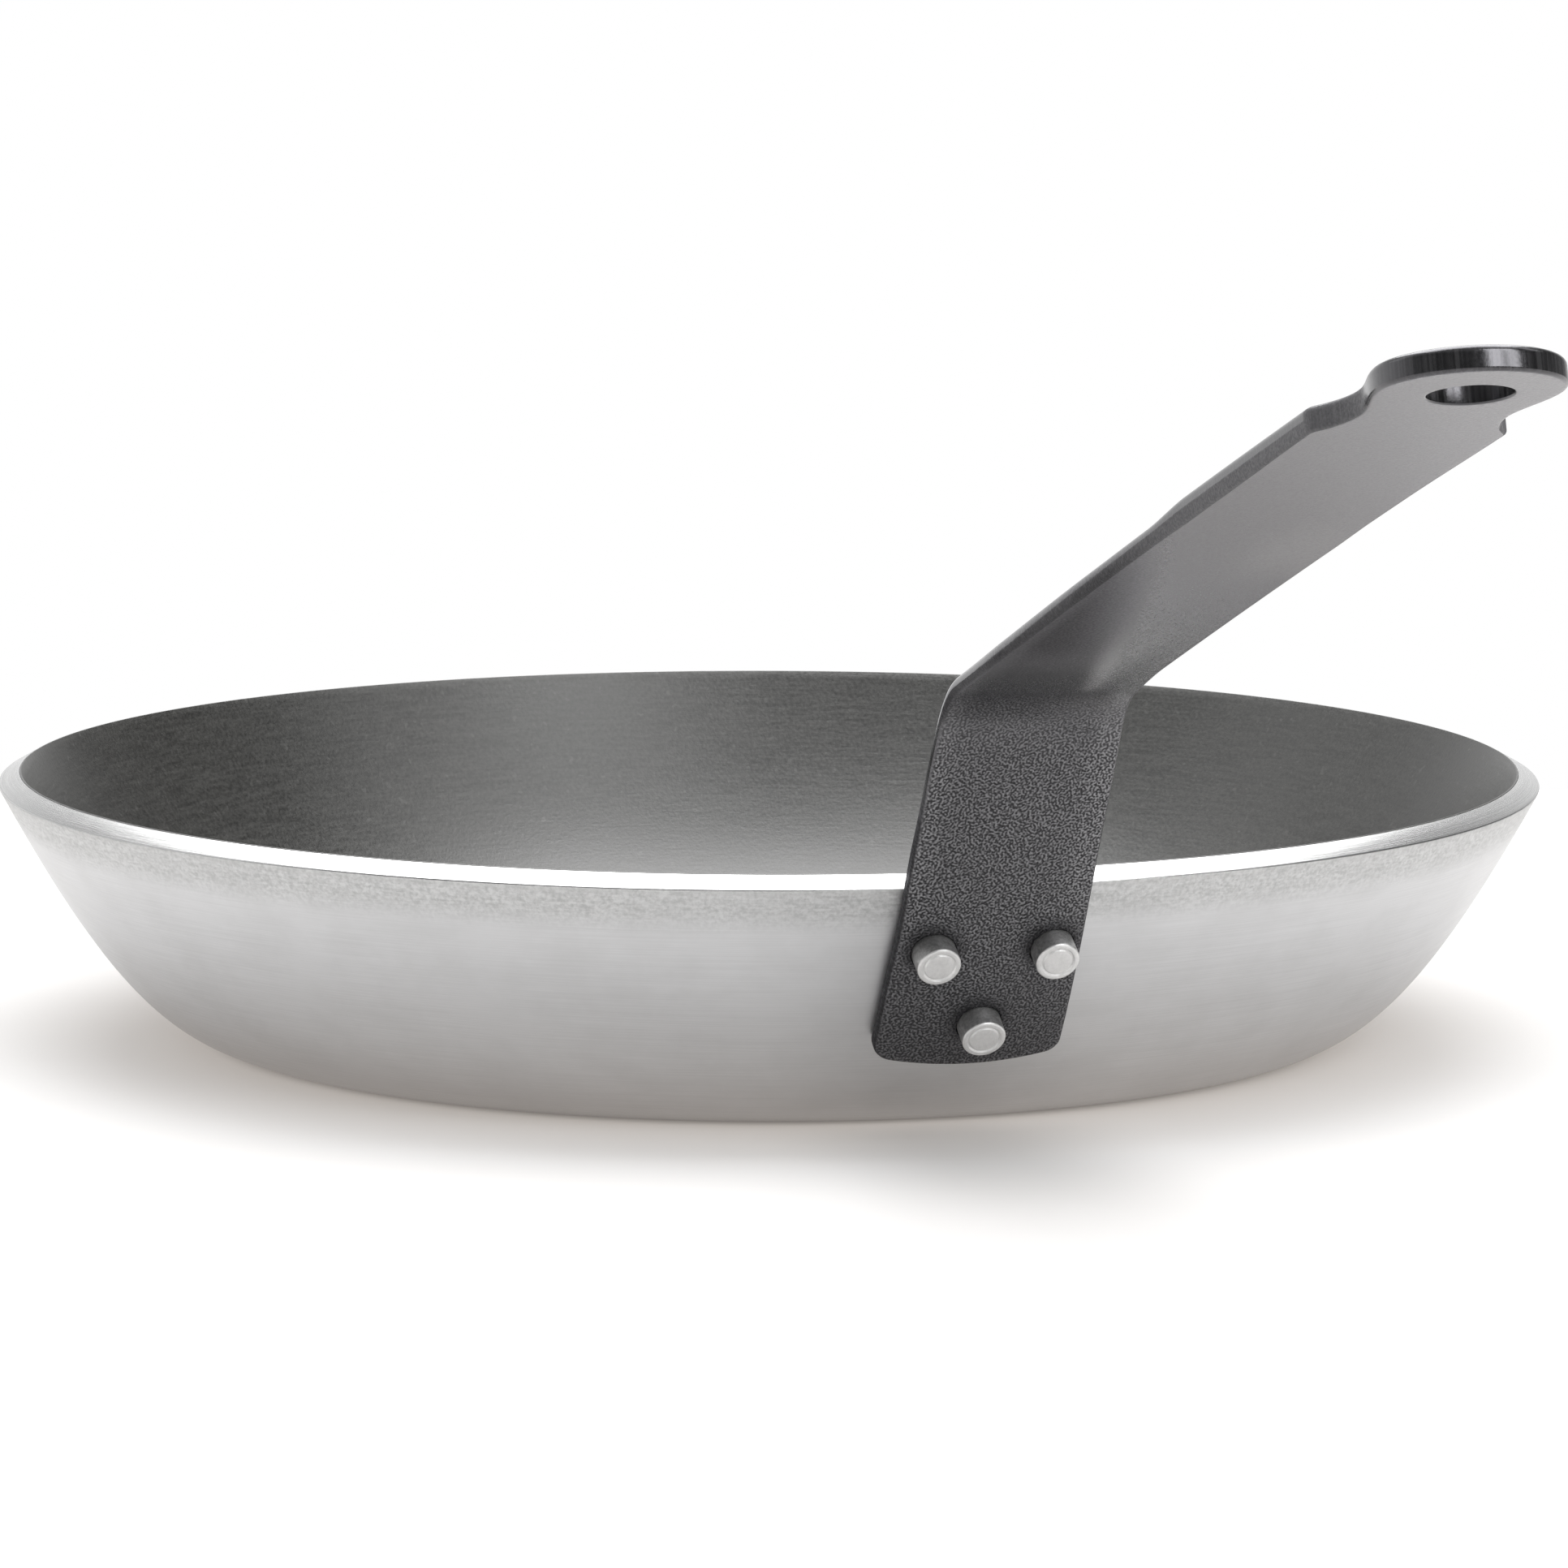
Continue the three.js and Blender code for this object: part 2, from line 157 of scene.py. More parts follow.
def half_width(s, side):
    s = np.asarray(s, float)
    corner = ROOT_CORNER_R[0 if side < 0 else 1]
    w = straight_width(s, side)
    d = np.clip(corner - (s + ROOT_END), 0, corner)
    w = w - corner + np.sqrt(corner ** 2 - d * d)
    run, drop = WAIST_AT - SHOULDER_AT, GRIP_HALF_W - WAIST_HALF_W
    turn = 2 * math.atan2(drop, run)
    hollow_r = run / math.sin(turn) - SHOULDER_R
    q = s - SHOULDER_AT
    w = np.where(q >= 0, GRIP_HALF_W - SHOULDER_R + np.sqrt(np.maximum(0, SHOULDER_R ** 2 - q * q)), w)
    w = np.where(q >= SHOULDER_R * math.sin(turn), WAIST_HALF_W + hollow_r - np.sqrt(np.maximum(0, hollow_r ** 2 - (WAIST_AT - s) ** 2)), w)
    w = np.where(s >= WAIST_AT, WAIST_HALF_W + (EYE_R - WAIST_HALF_W) * smooth((s - WAIST_AT) / (EYE_AT - WAIST_AT)), w)
    return np.where(s >= EYE_AT, np.sqrt(np.maximum(0, EYE_R ** 2 - (s - EYE_AT) ** 2)), w)


def thickness(s):
    return STRIP_T + (GRIP_T - STRIP_T) * smooth((np.asarray(s) - SWELL_AT) / SWELL_LEN)


def edge_radius(s, start, end):
    return start + (end - start) * smooth((np.asarray(s) - SWELL_AT + 30) / (SWELL_LEN + 30))


def shear(s):
    """How far the lower part of the blanked sides is drawn in along the grip, none at the root, the shoulders and the eye."""
    return SHEAR_IN * smooth((np.asarray(s) - 24) / 16) * (1 - smooth((np.asarray(s) - SHOULDER_AT + 34) / 32))


def end_curve(s, v):
    return v * v / (2 * ROOT_END_R) * (1 - smooth((s + ROOT_END) / 16))


# ---- mesh helpers ----------------------------------------------------------------------------------
def new_object(name, verts, faces, materials, face_mats=None, attributes=None):
    me = bpy.data.meshes.new(name)
    me.from_pydata([tuple(map(float, p)) for p in verts], [], [tuple(map(int, f)) for f in faces])
    me.validate()
    for m in materials:
        me.materials.append(m)
    if face_mats is not None:
        me.polygons.foreach_set("material_index", np.asarray(face_mats, np.int32))
    for key, values in (attributes or {}).items():
        me.attributes.new(key, "FLOAT", "POINT").data.foreach_set("value", np.asarray(values, np.float32))
    me.polygons.foreach_set("use_smooth", np.ones(len(me.polygons), bool))
    me.update()
    ob = bpy.data.objects.new(name, me)
    bpy.context.scene.collection.objects.link(ob)
    return ob


def face_out(ob):
    bm = bmesh.new()
    bm.from_mesh(ob.data)
    bmesh.ops.recalc_face_normals(bm, faces=bm.faces)
    if bm.calc_volume(signed=True) < 0:
        bmesh.ops.reverse_faces(bm, faces=bm.faces)
    bm.to_mesh(ob.data)
    bm.free()


def lathe(name, profile, segments, materials, zones=None, matrix=None):
    """Closed body of revolution about +Z. profile: (radius, height) rows from axis to axis; zones: material per profile span."""
    prof = np.asarray(profile, float)
    n = len(prof)
    arc = np.concatenate([[0], np.cumsum(np.linalg.norm(np.diff(prof, axis=0), axis=1))])
    ang = np.arange(segments) * 2 * math.pi / segments
    verts, arcs, index = [], [], []
    for i, (r, z) in enumerate(prof):
        if r < 1e-6:
            index.append([len(verts)] * segments)
            verts.append((0, 0, z))
            arcs.append(arc[i])
        else:
            index.append(list(range(len(verts), len(verts) + segments)))
            for a in ang:
                verts.append((r * math.cos(a), r * math.sin(a), z))
                arcs.append(arc[i])
    faces, mats = [], []
    for i in range(n - 1):
        for j in range(segments):
            k = (j + 1) % segments
            f = [index[i][j], index[i][k], index[i + 1][k], index[i + 1][j]]
            f = [x for q, x in enumerate(f) if x != f[q - 1]]
            if len(f) >= 3:
                faces.append(f)
                mats.append(zones[i] if zones is not None else 0)
    verts = np.array(verts) * MM
    if matrix is not None:
        m = np.array(matrix)
        verts = verts @ m[:3, :3].T + m[:3, 3]
    ob = new_object(name, verts, faces, materials, mats, {"arc": arcs})
    face_out(ob)
    ob.data.set_sharp_from_angle(angle=math.radians(38))
    return ob


def fillet(profile, radii, steps=5):
    """Profile polyline with the named corners rounded: radii {index: radius}."""
    out = []
    for i, p in enumerate(profile):
        p = np.asarray(p, float)
        if i not in radii:
            out.append(p)
            continue
        a, b = np.asarray(profile[i - 1], float), np.asarray(profile[i + 1], float)
        u, w = a - p, b - p
        lu, lw = np.linalg.norm(u), np.linalg.norm(w)
        u, w = u / lu, w / lw
        half = math.acos(max(-1, min(1, float(u @ w)))) / 2
        reach = min(radii[i] / math.tan(half), lu * 0.48, lw * 0.48)
        r = reach * math.tan(half)
        mid = (u + w) / np.linalg.norm(u + w)
        c = p + mid * (r / math.sin(half))
        s0, s1 = p + u * reach - c, p + w * reach - c
        for k in range(steps + 1):
            f = k / steps
            q = s0 * (1 - f) + s1 * f
            out.append(c + q / np.linalg.norm(q) * r)
    return np.array(out)


def drill(ob, cutters):
    for c in cutters:
        m = ob.modifiers.new("hole", "BOOLEAN")
        m.operation, m.solver, m.object = "DIFFERENCE", "EXACT", c
        bpy.context.view_layer.objects.active = ob
        bpy.ops.object.modifier_apply(modifier=m.name)


def frame_at(s, v):
    """Matrix whose +Z leaves the strip's outer face at (s, v)."""
    _, _, a = path_at(s)
    out = np.array([math.sin(a), 0, -math.cos(a)])
    along = np.array([math.cos(a), 0, math.sin(a)])
    side = np.cross(along, out)
    m = np.eye(4)
    m[:3, 0], m[:3, 1], m[:3, 2] = along, np.cross(out, along), out
    m[:3, 3] = strip_point(s, v, 0.0) * MM
    return m


# ---- node material helpers ---------------------------------------------------------------------------
class Mat:
    def __init__(self, name):
        self.m = bpy.data.materials.new(name)
        self.m.use_nodes = True
        self.t = self.m.node_tree
        self.t.nodes.clear()
        self.out = self.t.nodes.new("ShaderNodeOutputMaterial")
        self.b = self.t.nodes.new("ShaderNodeBsdfPrincipled")
        self.t.links.new(self.b.outputs[0], self.out.inputs["Surface"])

    def put(self, sock, value):
        if isinstance(value, bpy.types.NodeSocket):
            self.t.links.new(value, sock)
        else:
            sock.default_value = value

    def node(self, kind, ins=None, **props):
        x = self.t.nodes.new(kind)
        for k, v in props.items():
            setattr(x, k, v)
        for k, v in (ins or {}).items():
            self.put(x.inputs[k], v)
        return x

    def set(self, **ins):
        for k, v in ins.items():
            self.put(self.b.inputs[k.replace("_", " ")], v)

    def math(self, op, a, b=0.0, c=0.0, clamp=False):
        x = self.t.nodes.new("ShaderNodeMath")
        x.operation, x.use_clamp = op, clamp
        for i, v in enumerate((a, b, c)):
            self.put(x.inputs[i], v)
        return x.outputs[0]

    def attr(self, name):
        return self.node("ShaderNodeAttribute", attribute_name=name).outputs["Fac"]

    def xyz(self):
        return self.node("ShaderNodeTexCoord").outputs["Object"]

    def noise(self, vec, scale, detail=2.0, rough=0.5, lac=2.0, dist=0.0):
        return self.node("ShaderNodeTexNoise", {"Vector": vec, "Scale": scale, "Detail": detail, "Roughness": rough, "Lacunarity": lac, "Distortion": dist}).outputs[0]

    def voronoi(self, vec, scale, feature="F1", smoothness=None, out="Distance"):
        x = self.node("ShaderNodeTexVoronoi", {"Vector": vec, "Scale": scale}, feature=feature)
        if smoothness is not None:
            x.inputs["Smoothness"].default_value = smoothness
        return x.outputs[out]

    def range(self, value, a, b, c, d, smoothstep=False):
        x = self.node("ShaderNodeMapRange", {"Value": value, "From Min": a, "From Max": b, "To Min": c, "To Max": d}, clamp=True)
        if smoothstep:
            x.interpolation_type = "SMOOTHSTEP"
        return x.outputs[0]

    def ramp(self, fac, stops):
        x = self.t.nodes.new("ShaderNodeValToRGB")
        e = x.color_ramp.elements
        while len(e) < len(stops):
            e.new(0.5)
        for el, (p, c) in zip(e, stops):
            el.position = p
            el.color = (*c, 1.0) if len(c) == 3 else c
        self.put(x.inputs[0], fac)
        return x.outputs[0]

    def mix(self, fac, a, b, blend="MIX"):
        x = self.t.nodes.new("ShaderNodeMix")
        x.data_type, x.blend_type = "RGBA", blend
        self.put(x.inputs[0], fac)
        self.put(x.inputs[6], a)
        self.put(x.inputs[7], b)
        return x.outputs[2]

    def bump(self, height, strength, distance, normal=None):
        ins = {"Height": height, "Strength": strength, "Distance": distance}
        if normal is not None:
            ins["Normal"] = normal
        return self.node("ShaderNodeBump", ins).outputs[0]

    def around(self, turns, arc_scale):
        """Coordinates that run with the turning lines: slow round the axis, fast along the profile."""
        p = self.node("ShaderNodeVectorMath", {0: self.node("ShaderNodeVectorMath", {0: self.xyz(), 1: (1.0, 1.0, 0.0)}, operation="MULTIPLY").outputs[0]}, operation="NORMALIZE").outputs[0]
        s = self.node("ShaderNodeSeparateXYZ", {0: p})
        return self.node("ShaderNodeCombineXYZ", {0: self.math("MULTIPLY", s.outputs[0], turns), 1: self.math("MULTIPLY", s.outputs[1], turns),
                                                   2: self.math("MULTIPLY", self.attr("arc"), arc_scale)}).outputs[0]


def grey(v, warm=0.0):
    return (v * (1 + warm), v, v * (1 - warm), 1.0)


# ---- materials ------------------------------------------------------------------------------------------
def brushed_aluminium():
    m = Mat("brushed_aluminium")
    fine = m.noise(m.around(5.0, 6.0), 1.0, 3.0, 0.6)
    streak = m.noise(m.around(45.0, 2.2), 1.0, 2.0, 0.55)
    height = m.node("ShaderNodeSeparateXYZ", {0: m.xyz()}).outputs[2]
    near_rim = m.range(height, 0.0318, 0.0368, 0.0, 1.0, True)
    under_rim = m.range(height, 0.0382, 0.0391, 0.0, 1.0, True)
    peel = m.noise(m.xyz(), 1500.0, 3.0, 0.65)
    mott = m.math("ADD", m.math("MULTIPLY", streak, 0.35), m.math("MULTIPLY", peel, 0.65))
    col = m.ramp(fine, [(0.3, (0.598, 0.603, 0.612)), (0.7, (0.652, 0.657, 0.667))])
    col = m.mix(m.math("MULTIPLY", near_rim, 0.8), col, m.ramp(mott, [(0.38, (0.38, 0.386, 0.386)), (0.6, (0.605, 0.611, 0.611))]))
    col = m.mix(m.math("MULTIPLY", under_rim, 0.22), col, (0.4, 0.4, 0.398, 1.0))
    cloud = m.noise(m.around(9.0, 0.12), 1.0, 4.0, 0.6)
    col = m.mix(m.range(cloud, 0.4, 0.68, 0.0, 0.28), col, (0.5, 0.503, 0.505, 1.0))
    # Painted shade: the wall colour turns darker and warmer towards the base, standing in for the shadowed floor the
    # lower wall reflects.
    col = m.mix(m.range(height, 0.014, 0.003, 0.0, 0.35, True), col, (0.44, 0.42, 0.41, 1.0))
    rough = m.math("ADD", m.range(fine, 0.3, 0.7, 0.38, 0.32), m.math("MULTIPLY", near_rim, 0.06))
    m.set(Base_Color=col, Metallic=1.0, Roughness=rough, Anisotropic=0.45,
          Tangent=m.node("ShaderNodeTangent", direction_type="RADIAL", axis="Z").outputs[0])
    h = m.math("ADD", m.math("MULTIPLY", fine, 0.5), m.math("MULTIPLY", m.math("MULTIPLY", mott, near_rim), 0.8))
    m.set(Normal=m.bump(h, 0.22, 0.00008))
    return m.m


def turned_rim():
    m = Mat("turned_rim")
    fine = m.noise(m.around(3.0, 9.0), 1.0, 2.0, 0.5)
    m.set(Base_Color=m.ramp(fine, [(0.3, (0.53, 0.531, 0.53)), (0.7, (0.65, 0.651, 0.65))]), Metallic=1.0,
          Roughness=m.range(fine, 0.3, 0.7, 0.29, 0.19), Anisotropic=0.4,
          Tangent=m.node("ShaderNodeTangent", direction_type="RADIAL", axis="Z").outputs[0])
    m.set(Normal=m.bump(fine, 0.35, 0.00008))
    return m.m


def turned_base():
    m = Mat("turned_base")
    fine = m.noise(m.around(2.0, 3.5), 1.0, 2.0, 0.5)
    scuff = m.noise(m.xyz(), 40.0, 4.0, 0.6)
    tone = m.math("ADD", m.math("MULTIPLY", fine, 0.6), m.math("MULTIPLY", scuff, 0.4))
    m.set(Base_Color=m.ramp(tone, [(0.3, (0.52, 0.52, 0.512)), (0.7, (0.66, 0.66, 0.652))]), Metallic=1.0,
          Roughness=m.range(tone, 0.3, 0.7, 0.44, 0.3), Anisotropic=0.5,
          Tangent=m.node("ShaderNodeTangent", direction_type="RADIAL", axis="Z").outputs[0])
    m.set(Normal=m.bump(fine, 0.3, 0.0001))
    return m.m


def nonstick():
    m = Mat("nonstick")
    v = m.xyz()
    grit = m.noise(v, 1700.0, 2.0, 0.6)
    lines = m.noise(m.around(16.0, 1.5), 1.0, 3.0, 0.6)
    fine = m.math("ADD", m.math("MULTIPLY", grit, 0.6), m.math("MULTIPLY", lines, 0.4))
    patch = m.noise(v, 22.0, 3.0, 0.55)
    specks = m.range(m.noise(v, 760.0, 1.0, 0.5), 0.68, 0.76, 0.0, 1.0)
    col = m.ramp(fine, [(0.36, (0.0085, 0.0084, 0.0074)), (0.64, (0.0375, 0.037, 0.034))])
    col = m.mix(m.math("MULTIPLY", specks, 0.24), col, (0.13, 0.13, 0.125, 1.0))
    col = m.mix(m.range(patch, 0.35, 0.7, 0.0, 0.3), col, (0.036, 0.035, 0.0315, 1.0))
    flat = m.range(m.node("ShaderNodeSeparateXYZ", {0: v}).outputs[2], 0.0046, 0.0075, 0.72, 0.0, True)
    m.set(Base_Color=col, Metallic=flat, Roughness=m.math("ADD", m.range(fine, 0.36, 0.64, 0.33, 0.42), m.range(patch, 0.3, 0.7, -0.025, 0.025)), Specular_IOR_Level=1.0)
    m.set(Normal=m.bump(fine, 0.5, 0.0001))
    return m.m


def hammered_coat():
    m = Mat("hammered_coat")
    v = m.xyz()
    flat = m.node("ShaderNodeCombineXYZ", {0: m.attr("along"), 1: m.attr("across"), 2: 0.0}).outputs[0]
    worm = m.node("ShaderNodeTexGabor", {"Vector": flat, "Scale": 1.6, "Frequency": 1.05, "Anisotropy": 0.0}, gabor_type="2D").outputs["Value"]
    blur = m.noise(v, 900.0, 2.0, 0.55)
    grain = m.noise(v, 2600.0, 2.0, 0.6)
    edge = m.attr("edge")
    along = m.attr("along")
    sheared = m.attr("sheared")
    face = m.math("SUBTRACT", 1.0, edge, clamp=True)
    rough_zone = m.math("ADD", m.range(along, 20.0, 42.0, 0.84, 0.05, True), m.range(along, 20.0, 90.0, 0.14, 0.0, True))
    # Painted shade: a dark patch on the under face after the bend, leaning across the strip and eased near the left
    # edge, standing in for the dark root and shadow the underside reflects; the patch is also made rougher.
    slant = m.math("ADD", m.attr("across"), m.math("MULTIPLY", m.math("SUBTRACT", along, 66.0), 0.19))
    shaded = m.math("MULTIPLY", m.range(slant, -7.5, 5.5, 1.0, 0.0, True), m.attr("under"))
    border = m.math("MULTIPLY", m.range(m.attr("across"), -13.2, -10.0, 0.5, 0.0), m.math("MULTIPLY", m.range(along, 58.0, 66.0, 0.0, 1.0), m.range(along, 92.0, 112.0, 1.0, 0.0)))
    shaded = m.math("MULTIPLY", shaded, m.math("SUBTRACT", 1.0, border))
    matte_painted_shade = m.math("MULTIPLY", shaded, m.math("MULTIPLY", m.range(along, 46.0, 72.0, 0.0, 1.0, True), m.range(along, 92.0, 165.0, 1.0, 0.0, True)))
    # Painted shade at the bend itself, applied through Metallic below.
    turn = m.math("MULTIPLY", shaded, m.math("MULTIPLY", m.range(along, 28.5, 33.5, 0.0, 1.0, True), m.range(along, 35.0, 42.0, 1.0, 0.0, True)))
    amount = m.math("MULTIPLY", rough_zone, face)
    h = m.math("ADD", m.math("MULTIPLY", worm, 0.85), m.math("MULTIPLY", blur, 0.15))
    ridge = m.range(h, 0.4, 0.66, 0.0, 1.0, True)
    # Painted sheen: lighter bands along both long edges of the root and neck, on the smooth coat and on the hammertone
    # ridges.
    rim_side = m.math("MULTIPLY", m.range(m.math("ABSOLUTE", m.attr("across")), 8.5, 12.4, 0.0, 1.0, True),
                      m.math("MULTIPLY", m.range(along, -6.0, 4.0, 0.0, 1.0, True), m.range(along, 30.0, 90.0, 1.0, 0.0, True)))
    # Painted light: the smooth coat's colour lightens along the strip past the bend, standing in for the brighter
    # surroundings the grip reflects further out.
    smooth_tone = m.mix(m.math("MULTIPLY", face, m.range(along, 45.0, 110.0, 0.0, 1.0, True)), (0.006, 0.006, 0.0063, 1.0), (0.046, 0.0465, 0.0545, 1.0))
    # Painted highlight: the crease mask below marks a lighter diagonal band on the under face after the bend, standing
    # in for a streak of reflected light.
    crease = m.math("MULTIPLY", m.range(slant, -1.0, 2.0, 0.0, 1.0, True), m.math("MULTIPLY", m.range(slant, 2.4, 4.2, 1.0, 0.45, True), m.range(m.attr("across"), 5.0, 9.0, 1.0, 0.0, True)))
    crease = m.math("MULTIPLY", crease, m.math("MULTIPLY", m.range(along, 38.0, 44.0, 0.0, 1.0, True), m.range(along, 52.0, 90.0, 1.0, 0.0, True)))
    smooth_tone = m.mix(m.math("MULTIPLY", crease, m.attr("under")), smooth_tone, (0.17, 0.169, 0.171, 1.0))
    # Painted sheen: a lighter patch on the under face halfway along the grip.
    painted_sheen_patch = m.math("MULTIPLY", m.range(m.attr("across"), -2.0, 6.0, 0.0, 1.0, True), m.math("MULTIPLY", m.range(along, 106.0, 124.0, 0.0, 1.0, True), m.range(along, 130.0, 152.0, 1.0, 0.0, True)))
    smooth_tone = m.mix(m.math("MULTIPLY", painted_sheen_patch, m.math("MULTIPLY", face, m.attr("under"))), smooth_tone, (0.09, 0.0905, 0.096, 1.0))
    smooth_tone = m.mix(m.math("MULTIPLY", sheared, m.range(along, 60.0, 90.0, 0.0, 1.0)), smooth_tone, (0.045, 0.045, 0.047, 1.0))
    smooth_tone = m.mix(matte_painted_shade, smooth_tone, (0.0065, 0.006, 0.0056, 1.0))
    smooth_tone = m.mix(m.math("MULTIPLY", rim_side, face), smooth_tone, (0.06, 0.06, 0.062, 1.0))
    # Painted shade: the ridge colour darkens towards the lower end of the root, standing in for the shadowed floor it
    # reflects.
    top_tone = m.mix(m.range(along, -30.0, -3.0, 0.0, 1.0, True), (0.07, 0.07, 0.0725, 1.0), (0.145, 0.145, 0.15, 1.0))
    top_tone = m.mix(rim_side, top_tone, (0.21, 0.21, 0.216, 1.0))
    col = m.mix(m.math("MULTIPLY", ridge, m.range(amount, 0.0, 1.0, 0.16, 1.0)), m.mix(amount, smooth_tone, (0.003, 0.003, 0.0031, 1.0)), top_tone)
    shade = m.math("MULTIPLY", m.attr("by_rivet"), 0.75)
    col = m.mix(shade, col, (0.004, 0.004, 0.0042, 1.0))
    # Painted shade through Metallic on the dark base colour: darker hammertone pits, a ring round each rivet, the
    # root's side faces, the patch after the bend and the bend itself.
    painted_shade_metallic = m.math("MULTIPLY", m.math("SUBTRACT", 1.0, ridge), m.range(amount, 0.15, 1.0, 0.0, 0.55))
    painted_shade_metallic = m.math("MAXIMUM", painted_shade_metallic, m.math("MULTIPLY", shade, 0.9))
    painted_shade_metallic = m.math("MAXIMUM", painted_shade_metallic, m.math("MULTIPLY", sheared, m.range(along, 8.0, 24.0, 0.6, 0.0, True)))
    painted_shade_metallic = m.math("MAXIMUM", painted_shade_metallic, m.math("ADD", m.math("MULTIPLY", matte_painted_shade, 0.5), m.math("MULTIPLY", turn, 0.55)))
    rough = m.math("ADD", m.range(amount, 0.0, 1.0, 0.2, 0.28), m.math("MULTIPLY", face, m.range(along, 70.0, 150.0, 0.05, 0.0, True)))
    rough = m.math("ADD", m.math("SUBTRACT", rough, m.math("MULTIPLY", edge, m.math("SUBTRACT", m.range(along, 40.0, 80.0, 0.12, 0.06), m.range(along, 190.0, 210.0, 0.0, 0.05)))), m.range(grain, 0.3, 0.7, -0.03, 0.05))
    rough = m.math("ADD", rough, m.math("MULTIPLY", matte_painted_shade, m.range(grain, 0.35, 0.65, 0.42, 0.62)))
    rough = m.math("ADD", rough, m.math("MULTIPLY", sheared, m.range(grain, 0.35, 0.65, 0.38, 0.62)))
    m.set(Base_Color=col, Metallic=painted_shade_metallic, Roughness=rough, Specular_IOR_Level=1.0, Specular_Tint=(0.95, 0.94, 1.0, 1.0))
    m.set(Normal=m.bump(grain, m.math("ADD", m.math("MULTIPLY", matte_painted_shade, 0.3), m.math("ADD", 0.05, m.math("MULTIPLY", sheared, 0.25))), 0.0002, m.bump(h, amount, 0.0004)))
    return m.m


def rivet_metal():
    m = Mat("rivet_aluminium")
    v = m.xyz()
    fine = m.noise(v, 1800.0, 3.0, 0.6)
    broad = m.noise(v, 350.0, 2.0, 0.5)
    tone = m.math("ADD", m.math("MULTIPLY", fine, 0.5), m.math("MULTIPLY", broad, 0.5))
    m.set(Base_Color=m.ramp(tone, [(0.3, (0.62, 0.62, 0.618)), (0.7, (0.78, 0.78, 0.777))]), Metallic=1.0, Roughness=m.range(tone, 0.3, 0.7, 0.55, 0.4))
    m.set(Normal=m.bump(fine, 0.2, 0.0001))
    return m.m


def rivet_side():
    m = Mat("rivet_side")
    v = m.xyz()
    fine = m.noise(v, 1500.0, 3.0, 0.65)
    broad = m.noise(v, 520.0, 2.0, 0.5)
    tone = m.math("ADD", m.math("MULTIPLY", fine, 0.5), m.math("MULTIPLY", broad, 0.5))
    m.set(Base_Color=m.ramp(tone, [(0.36, (0.3, 0.3, 0.298)), (0.62, (0.68, 0.68, 0.677))]), Metallic=1.0, Roughness=m.range(tone, 0.36, 0.62, 0.6, 0.42))
    m.set(Normal=m.bump(fine, 0.45, 0.0002))
    return m.m


def glowing_floor_painted_shade():
    m = Mat("glowing_floor_painted_shade")
    v = m.xyz()
    # The floor glows though it is no lamp: painted light. The glow drops towards the pan, falls further right at its
    # foot as a painted contact shadow, is a little dimmer behind the pan, dips under the handle as a painted shadow of
    # the handle, and turns warm near the base as painted warm shade.
    n = m.noise(v, 9.0, 4.0, 0.55)
    away = m.range(m.node("ShaderNodeVectorMath", {0: v}, operation="LENGTH").outputs["Value"], 0.06, 0.12, 0.29, 0.45)
    foot = m.range(m.node("ShaderNodeVectorMath", {0: v}, operation="LENGTH").outputs["Value"], 0.083, 0.09, 0.35, 1.0, True)
    ahead = m.node("ShaderNodeVectorMath", {0: v, 1: (0.964, -0.266, 0.0)}, operation="DOT_PRODUCT").outputs["Value"]
    place = m.node("ShaderNodeSeparateXYZ", {0: v})
    under = m.math("MULTIPLY", m.range(m.math("ABSOLUTE", place.outputs[1]), 0.002, 0.032, 1.0, 0.0, True),
                   m.math("MULTIPLY", m.range(place.outputs[0], 0.085, 0.1, 0.0, 1.0, True), m.range(place.outputs[0], 0.13, 0.2, 1.0, 0.0, True)))
    glow = m.math("MULTIPLY", m.math("MULTIPLY", m.math("MULTIPLY", away, foot), m.range(ahead, -0.02, 0.07, 0.925, 1.0)), m.math("SUBTRACT", 1.0, m.math("MULTIPLY", under, 0.38)))
    m.set(Base_Color=m.ramp(n, [(0.3, (0.37, 0.358, 0.348)), (0.7, (0.4, 0.389, 0.38))]), Roughness=0.7, Specular_IOR_Level=0.3,
          Emission_Color=m.ramp(m.range(m.node("ShaderNodeVectorMath", {0: v}, operation="LENGTH").outputs["Value"], 0.085, 0.125, 0.0, 1.0), [(0.0, (1.0, 0.92, 0.85)), (1.0, (1.0, 1.0, 1.0))]), Emission_Strength=glow)
    return m.m


ALU, RIM, BASE, LINING, COAT, RIVET, RIVET_SIDE, FLOOR = brushed_aluminium(), turned_rim(), turned_base(), nonstick(), hammered_coat(), rivet_metal(), rivet_side(), glowing_floor_painted_shade()

# ---- pan body ---------------------------------------------------------------------------------------------
AROUND = 288
ts = np.concatenate([np.linspace(0, 0.9, 46), np.linspace(0.9, 1, 8)[1:]])
outer, _, _ = wall_at(ts)
inner = inside_at(ts, 0.0)
rim_out, rim_in = outer[0], inner[0]
corner = [outer[1], rim_out, rim_in, inner[1]]
rim = fillet(corner, {1: 0.27, 2: 0.09}, 4)[1:-1]
profile = [(0.0, 0.0), (30.0, 0.0), (60.0, 0.0)] + list(map(tuple, outer[:0:-1])) + list(map(tuple, rim)) + list(map(tuple, inner[1:])) + [(55.0, BASE_T), (0.0, BASE_T)]
k0 = 3 + len(outer) - 1
zones = []
for i in range(len(profile) - 1):
    if i < 3:
        zones.append(2)
    elif k0 - 1 <= i < k0 + len(rim):
        zones.append(1 if i >= k0 + 2 else 0)
    else:
        zones.append(0)
body = lathe("pan_body_fine", profile, AROUND, [ALU, RIM, BASE], zones)

